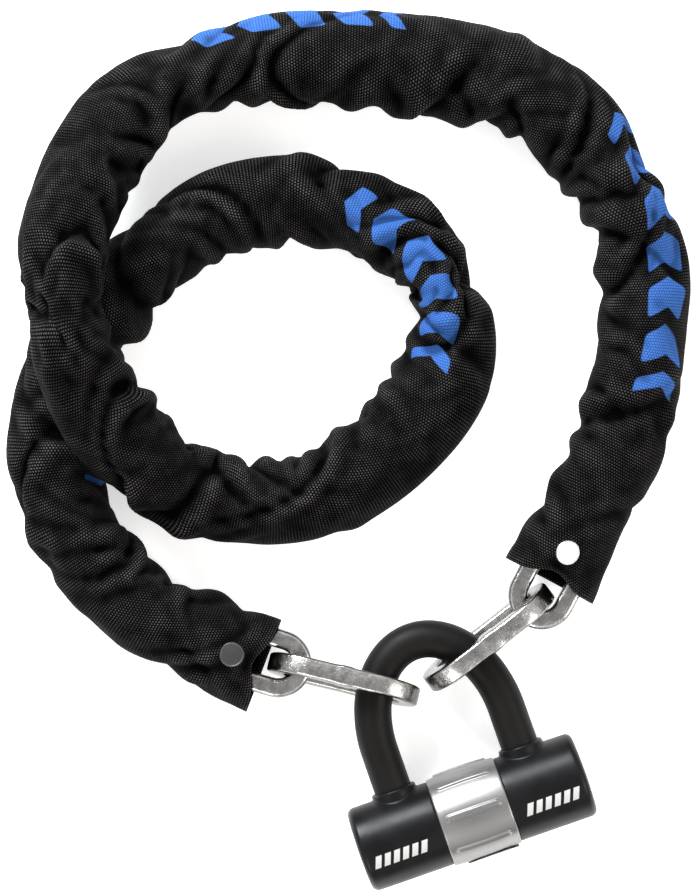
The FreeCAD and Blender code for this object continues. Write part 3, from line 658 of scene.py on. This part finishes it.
def steel_material(name, dark, light, roughness, pits, unshaded=None, painted_shade=None):
    """Plated steel: faintly cloudy, hammered and finely pitted, and darkened with a painted shade colour
    where the given mask is 0.
    """
    material, tree, shader = new_material(name)
    clouds = noise(tree, 160, 5, roughness=0.65)
    hammered = noise(tree, 330, 3)
    fine = noise(tree, 1500, 3)
    pitted = ramp(tree, fine, 0.32, 0.44)
    shade = mixed(tree, pitted, dark, mixed(tree, ramp(tree, clouds, 0.3, 0.7), dark, light))
    # Painted shade: where the mask is 0, the colour given as the shade replaces the steel's own.
    if unshaded:
        shade = mixed(tree, unshaded(tree), painted_shade, shade)
    tree.links.new(shade, shader.inputs["Base Color"])
    tree.links.new(ramp(tree, clouds, 0.3, 0.7, *roughness), shader.inputs["Roughness"])
    shader.inputs["Metallic"].default_value = 1
    under = bump(tree, hammered, pits, 0.8)
    tree.links.new(bump(tree, pitted, 0.00004, 0.6, under), shader.inputs["Normal"])
    return material


def band_material():
    """Satin silver lacquer with a fine metallic flake."""
    material, tree, shader = new_material("silver_lacquer")
    flake = noise(tree, 2600, 1)
    clouds = noise(tree, 45, 3)
    silver = mixed(tree, flake, (0.20, 0.195, 0.19, 1), (0.36, 0.355, 0.35, 1))
    tree.links.new(silver, shader.inputs["Base Color"])
    tree.links.new(ramp(tree, clouds, 0.3, 0.7, 0.29, 0.37), shader.inputs["Roughness"])
    shader.inputs["Metallic"].default_value = 0.8
    tree.links.new(bump(tree, flake, 0.00003, 0.4), shader.inputs["Normal"])
    return material


# ================================================================ links
def link_loop(length, width):
    """The middle line of a link's bar, its outward direction at each point, and the distance to its weld."""
    bend = (width - BAR) / 2
    half = (length - width) / 2
    turn = np.linspace(-math.pi / 2, math.pi / 2, 30)
    side = np.linspace(-half, half, 24)[1:-1]
    crown = np.stack([half + bend * np.cos(turn), bend * np.sin(turn)], axis=1)
    top = np.stack([-side, np.full(len(side), bend)], axis=1)
    right_half = np.vstack([crown, top])
    line = np.vstack([right_half, -right_half])
    out = np.vstack([np.stack([np.cos(turn), np.sin(turn)], axis=1), np.tile((0, 1), (len(side), 1))])
    out = np.vstack([out, -out])
    weld = np.where(line[:, 1] > bend * 0.99, np.abs(line[:, 0]), length)
    return line, out, weld


def bar_outline(rounding, points=5):
    """The rounded square section of the bar, as outward and sideways offsets."""
    flat = BAR / 2 - rounding
    outline = []
    for quarter, (x, y) in enumerate(((flat, flat), (-flat, flat), (-flat, -flat), (flat, -flat))):
        for turn in np.linspace(0, math.pi / 2, points) + quarter * math.pi / 2:
            outline.append((x + rounding * math.cos(turn), y + rounding * math.sin(turn)))
    return np.array(outline)


def link_mesh(name, size, rounding, seed):
    """A forged link lying flat about the origin, a little uneven, with a weld on one side."""
    line, out, weld = link_loop(*size)
    section = bar_outline(rounding)
    random = np.random.default_rng(seed)
    round_loop = np.arange(len(line)) / len(line) * 2 * math.pi
    waves = sum(
        random.uniform(0.4, 1) * np.sin(round_loop * count + random.uniform(0, 6))
        for count in (5, 8, 13, 21)
    )
    welded = 1 / (1 + np.exp((weld - WELD_LENGTH / 2) / WELD_EDGE))
    swell = 1 + FORGED_SWELL * waves + WELD_HEIGHT / (BAR / 2) * welded
    points = np.zeros((len(line), len(section), 3))
    points[..., :2] = line[:, None] + out[:, None] * (section[:, 0] * swell[:, None])[..., None]
    points[..., 2] = section[:, 1] * swell[:, None]
    return grid_mesh(name, points, closed_across=True, closed_along=True)


def link_place(node):
    """Where a CAD link lies: a matrix from its own frame, its length along x and its plane across z."""
    corners = np.array([vertex.co for vertex in frame["nodes"][node].data.vertices])
    centre = (corners.min(0) + corners.max(0)) / 2
    _, axes = np.linalg.eigh(np.cov((corners - centre).T))
    along, across = axes[:, 2], axes[:, 1]
    matrix = np.eye(4)
    matrix[:3, :3] = np.stack([along, across, np.cross(along, across)], axis=1)
    matrix[:3, 3] = centre
    return Matrix(matrix.tolist())


def make_links(material):
    """The four links that show at the sleeve's ends."""
    shown = (
        ("chain_link_01", LINK_SIZE, LINK_ROUND, "chain_and_crossbar"),
        ("chain_link_35", LINK_SIZE, LINK_ROUND, "chain_and_crossbar"),
        ("right_end_link", END_LINK_SIZE, END_LINK_ROUND, "right_end_link"),
        ("left_end_link", END_LINK_SIZE, END_LINK_ROUND, "left_end_link"),
    )
    for seed, (node, size, rounding, body) in enumerate(shown):
        mesh = link_mesh(node, size, rounding, seed)
        mesh.transform(link_place(node))
        put(f"{node}_forged", mesh, material, body, "zinc_steel", node)


# ================================================================ rivets
def lathe_mesh(name, outline, sides=96):
    """A closed outline of distances along and from the z axis, turned round it."""
    turn = np.linspace(0, 2 * math.pi, sides, endpoint=False)
    outline = np.array(outline)
    points = np.zeros((sides, len(outline), 3))
    points[..., 0] = np.cos(turn)[:, None] * outline[:, 1]
    points[..., 1] = np.sin(turn)[:, None] * outline[:, 1]
    points[..., 2] = outline[:, 0]
    mesh = grid_mesh(name, points, closed_along=True)
    shell = bmesh.new()
    shell.from_mesh(mesh)
    bmesh.ops.remove_doubles(shell, verts=shell.verts, dist=1e-7)
    bmesh.ops.recalc_face_normals(shell, faces=shell.faces)
    shell.to_mesh(mesh)
    shell.free()
    mesh.shade_smooth()
    return mesh


def make_rivets(material):
    """A nearly flat cap with a rolled edge, its shank and washer, near each hem."""
    line = smooth_line(np.array(ROUTE) + (0, 0, SLEEVE_RADIUS))
    dome = [(RIVET_CAP_HEIGHT * (1 - 0.3 * t**2), RIVET_CAP_RADIUS * 0.88 * t) for t in np.linspace(0, 1, 12)]
    edge = [
        (RIVET_ROLL * (0.3 + math.cos(t)), RIVET_CAP_RADIUS - RIVET_ROLL + RIVET_ROLL * math.sin(t))
        for t in np.linspace(0.3, 3.1, 9)
    ]
    under = [
        (SHANK_TOP, RIVET_SHANK_RADIUS),
        (WASHER_TOP, RIVET_SHANK_RADIUS),
        (WASHER_TOP, WASHER_RADIUS),
        (WASHER_BOTTOM, WASHER_RADIUS),
        (WASHER_BOTTOM, 0),
    ]
    joined = bmesh.new()
    for hem, inner, tilt in ((line[0], line[24], RIGHT_RIVET_TILT), (line[-1], line[-24], LEFT_RIVET_TILT)):
        run = (inner - hem) / np.linalg.norm(inner - hem)
        place = hem + run * RIVET_FROM_HEM + (0, 0, SLEEVE_RADIUS + RIVET_LIFT)
        mesh = lathe_mesh("rivet", dome + edge + under)
        tilted = Matrix.Rotation(math.radians(tilt), 4, run.tolist())
        mesh.transform(Matrix.Translation(place.tolist()) @ tilted)
        joined.from_mesh(mesh)
    mesh = bpy.data.meshes.new("rivets")
    joined.to_mesh(mesh)
    joined.free()
    put("rivet_caps", mesh, material, "chain_and_crossbar", "rivet_metal", "sleeve_rivets")


# ================================================================ lock
def to_lock(mesh):
    """Carries a mesh from the lock's own frame to its place."""
    mesh.transform(Matrix.Translation(LOCK_PLACE) @ Matrix.Rotation(LOCK_TURN, 4, "Z"))
    return mesh


def refined(node, voxel, rounds):
    """A copy of a CAD node with its edges softened and its inner corners filled a little."""
    copy = copy_of(node)
    remesh = copy.modifiers.new("Remesh", "REMESH")
    remesh.mode = "VOXEL"
    remesh.voxel_size = voxel
    soften = copy.modifiers.new("Smooth", "SMOOTH")
    soften.factor = 0.5
    soften.iterations = rounds
    baked(copy)
    mesh = copy.data
    bpy.data.objects.remove(copy)
    mesh.shade_smooth()
    return mesh


def make_covers(material):
    """The two moulded covers with their collars."""
    for side in ("right", "left"):
        mesh = refined(f"{side}_cover", voxel=0.0005, rounds=4)
        put(f"{side}_cover_moulded", mesh, material, "chain_and_crossbar", "black_plastic", f"{side}_cover")


def make_coating(material):
    """The soft coat round the shackle's bow, a hollow tube with its ends cut flat."""
    half = LEG_SPACING / 2
    turn = np.linspace(math.pi, 0, 90)
    bow = np.stack([half * np.cos(turn), LEG_STRAIGHT + BOW_HEIGHT * np.sin(turn), 0 * turn], axis=1)
    leg = np.linspace(COAT_FROM, LEG_STRAIGHT, 16, endpoint=False)
    left = np.stack([0 * leg - half, leg, 0 * leg], axis=1)
    right = np.stack([0 * leg + half, leg[::-1], 0 * leg], axis=1)
    line = np.vstack([left, bow, right])
    heading = unit(np.gradient(line, axis=0))
    side = unit(np.cross(heading, (0, 0, 1)))
    angle = np.linspace(0, 2 * math.pi, 48, endpoint=False)
    spokes = side[:, None] * np.cos(angle)[None, :, None] + np.array((0, 0, 1)) * np.sin(angle)[None, :, None]
    outer = line[:, None] + COAT_RADIUS * spokes
    inner = (line[:, None] + CORE_RADIUS * spokes)[::-1]
    mesh = grid_mesh("coat", np.concatenate([outer, inner]), closed_across=True, closed_along=True)
    put("shackle_coat_moulded", to_lock(mesh), material, "shackle", "shackle_coat", "shackle_coating")


def band_radius(x, angle):
    """The band's outside: a barrel with rounded rims and pill-shaped ribs."""
    from_middle = np.abs(x - BAND_OFFSET) / (BAND_WIDTH / 2)
    radius = BAND_RADIUS - (BAND_RADIUS - BAND_EDGE_RADIUS) * from_middle**2
    to_rim = np.clip(BAND_WIDTH / 2 - np.abs(x - BAND_OFFSET), 0, BAND_RIM)
    radius -= BAND_RIM - np.sqrt(BAND_RIM**2 - (BAND_RIM - to_rim) ** 2)
    for number in range(RIB_COUNT):
        if number == RIB_AT_WINDOW:
            continue
        place = RIB_FIRST + number * 2 * math.pi / RIB_COUNT
        across = ((angle - place + math.pi) % (2 * math.pi) - math.pi) * BAND_RADIUS
        past_end = np.maximum(np.abs(x - BAND_OFFSET) - (RIB_LENGTH - RIB_WIDTH) / 2, 0)
        inside = np.clip((RIB_WIDTH / 2 - np.hypot(across, past_end)) / RIB_SLOPE, 0, 1)
        radius += RIB_HEIGHT * inside**2 * (3 - 2 * inside)
    return radius


def make_band(material):
    """The silver band: a fine grid for its outside, a plain bore, and the keyway's window cut through."""
    x = BAND_OFFSET + BAND_WIDTH / 2 * np.sin(np.linspace(-math.pi / 2, math.pi / 2, 120))
    angle = np.linspace(0, 2 * math.pi, 720, endpoint=False)
    across, around = np.meshgrid(x, angle)
    outer = band_radius(across, around)
    across = np.concatenate([across, across[:, [-1, 0]]], axis=1)
    radius = np.concatenate([outer, np.full((len(angle), 2), BAND_BORE)], axis=1)
    points = np.stack([across, radius * np.sin(angle)[:, None], radius * np.cos(angle)[:, None]], axis=-1)
    turned = grid_mesh("band", points[::-1], closed_across=True, closed_along=True)
    band = bpy.data.objects.new("band", turned)
    bpy.context.scene.collection.objects.link(band)
    cutter = bpy.data.objects.new("cutter", window_mesh())
    bpy.context.scene.collection.objects.link(cutter)
    cut = band.modifiers.new("Boolean", "BOOLEAN")
    cut.object = cutter
    cut.solver = "EXACT"
    baked(band)
    mesh = band.data
    mesh.shade_smooth()
    mesh.set_sharp_from_angle(angle=math.radians(45))
    for made in (band, cutter):
        bpy.data.objects.remove(made)
    put("grip_band_lacquered", to_lock(mesh), material, "chain_and_crossbar", "silver_band", "grip_band")


def window_mesh():
    """The stadium that the keyway's bezel stands in, as a bar through the band's front."""
    ends = [(WINDOW_TO - WINDOW_HALF, -math.pi / 2), (WINDOW_FROM + WINDOW_HALF, math.pi / 2)]
    outline = []
    for x, start in ends:
        for turn in np.linspace(start, start + math.pi, 24):
            outline.append((x + WINDOW_HALF * math.cos(turn), WINDOW_HALF * math.sin(turn)))
    cutter = bmesh.new()
    front = [cutter.verts.new((x, -0.03, z)) for x, z in outline]
    face = cutter.faces.new(front)
    for moved in bmesh.ops.extrude_face_region(cutter, geom=[face])["geom"]:
        if isinstance(moved, bmesh.types.BMVert):
            moved.co.y = -0.01
    bmesh.ops.recalc_face_normals(cutter, faces=cutter.faces)
    mesh = bpy.data.meshes.new("window")
    cutter.to_mesh(mesh)
    cutter.free()
    return mesh


def finish_cad_nodes(finishes):
    """Gives every CAD node that still shows the material of its slot in the record."""
    for part in frame["record"]["subparts"]:
        materials = frame["nodes"][part["node"]].data.materials
        materials.clear()
        materials.append(finishes[part["material_slot"]])


# ================================================================ finish
make_camera()
make_stage()
zinc = steel_material(
    "zinc_plate",
    dark=(0.34, 0.33, 0.32, 1),
    light=(0.66, 0.65, 0.63, 1),
    roughness=(0.14, 0.26),
    pits=0.0003,
    # Painted shade: the links' upright faces are darker than those that look up or down.
    unshaded=level_faces,
    painted_shade=(0.16, 0.155, 0.15, 1),
)
covers = plastic_material("cover_plastic", (0.0050, 0.0050, 0.0056, 1), 0.34, marked=True)
coat = coat_material()
lacquer = band_material()
cloth = cloth_material()
rivet_metal = steel_material(
    "rivet_nickel",
    dark=(0.66, 0.66, 0.66, 1),
    light=(0.78, 0.78, 0.78, 1),
    roughness=(0.38, 0.46),
    pits=0.00003,
    # Painted shade: the rivet on the left is much darker than the one on the right.
    unshaded=right_side,
    painted_shade=(0.095, 0.094, 0.094, 1),
)
ground_steel = steel_material(
    "ground_steel",
    dark=(0.30, 0.30, 0.31, 1),
    light=(0.45, 0.45, 0.46, 1),
    roughness=(0.25, 0.4),
    pits=0.00005,
)
seal_rubber = plastic_material("seal_rubber", (0.005, 0.005, 0.005, 1), 0.6)
cast_zinc = steel_material(
    "cast_zinc",
    dark=(0.34, 0.34, 0.35, 1),
    light=(0.5, 0.5, 0.51, 1),
    roughness=(0.4, 0.6),
    pits=0.0001,
)
brass = steel_material(
    "brass",
    dark=(0.52, 0.36, 0.14, 1),
    light=(0.72, 0.55, 0.25, 1),
    roughness=(0.22, 0.36),
    pits=0.00004,
)
finish_cad_nodes({
    "zinc_steel": zinc,
    "sleeve_cloth": cloth,
    "rivet_metal": rivet_metal,
    "hard_steel": ground_steel,
    "shackle_coat": coat,
    "black_plastic": covers,
    "silver_band": lacquer,
    "seal_rubber": seal_rubber,
    "zinc_casting": cast_zinc,
    "brass": brass,
})
make_sleeve(cloth)
make_links(zinc)
make_rivets(rivet_metal)
make_covers(covers)
make_coating(coat)
make_band(lacquer)
